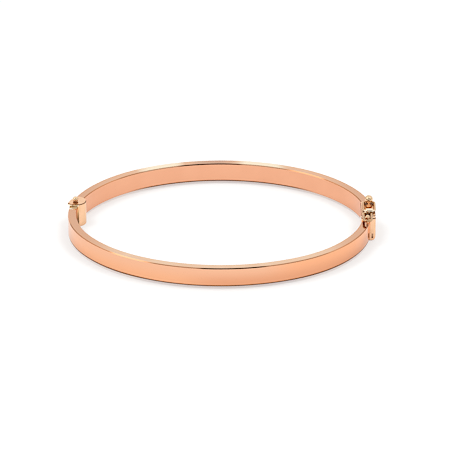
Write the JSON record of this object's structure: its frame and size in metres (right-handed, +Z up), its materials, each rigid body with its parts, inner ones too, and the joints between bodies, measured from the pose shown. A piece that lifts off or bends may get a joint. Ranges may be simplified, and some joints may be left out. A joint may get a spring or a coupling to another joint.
{
  "type": "hinged bangle",
  "caption": "Slim oval hinged bangle with a flat polished band, a pin hinge on one end, and a box clasp with a wire safety catch on the other.",
  "frame": {"origin": "centre of the oval in plan, on the surface that the hinge housing and the clasp stand on", "axes": "+X from the hinge to the clasp, +Y from the front half to the back half, +Z up through the wrist opening towards the side with the pin's ball and the safety catch"},
  "size_m": [0.0646, 0.0532, 0.007],
  "materials": {
    "band_plate": "mirror-polished rose gold plate",
    "finding_plate": "polished paler gold plate"
  },
  "bodies": {
    "back": {"back_half": "band_plate", "hinge_pin": "finding_plate"},
    "front": {"front_half": "band_plate"},
    "catch": {"safety_catch": "finding_plate"}
  },
  "joints": [
    {"name": "hinge", "type": "hinge", "parent": "back", "child": "front", "pos_m": [-0.03055, 0.0048, 0.00255], "axis": [0, 0, -1], "range_deg": [0, 65]},
    {"name": "catch_pivot", "type": "hinge", "parent": "back", "child": "catch", "pos_m": [0.03096, 0.0035, 0.00543], "axis": [-1, 0, 0], "range_deg": [0, 165]}
  ]
}
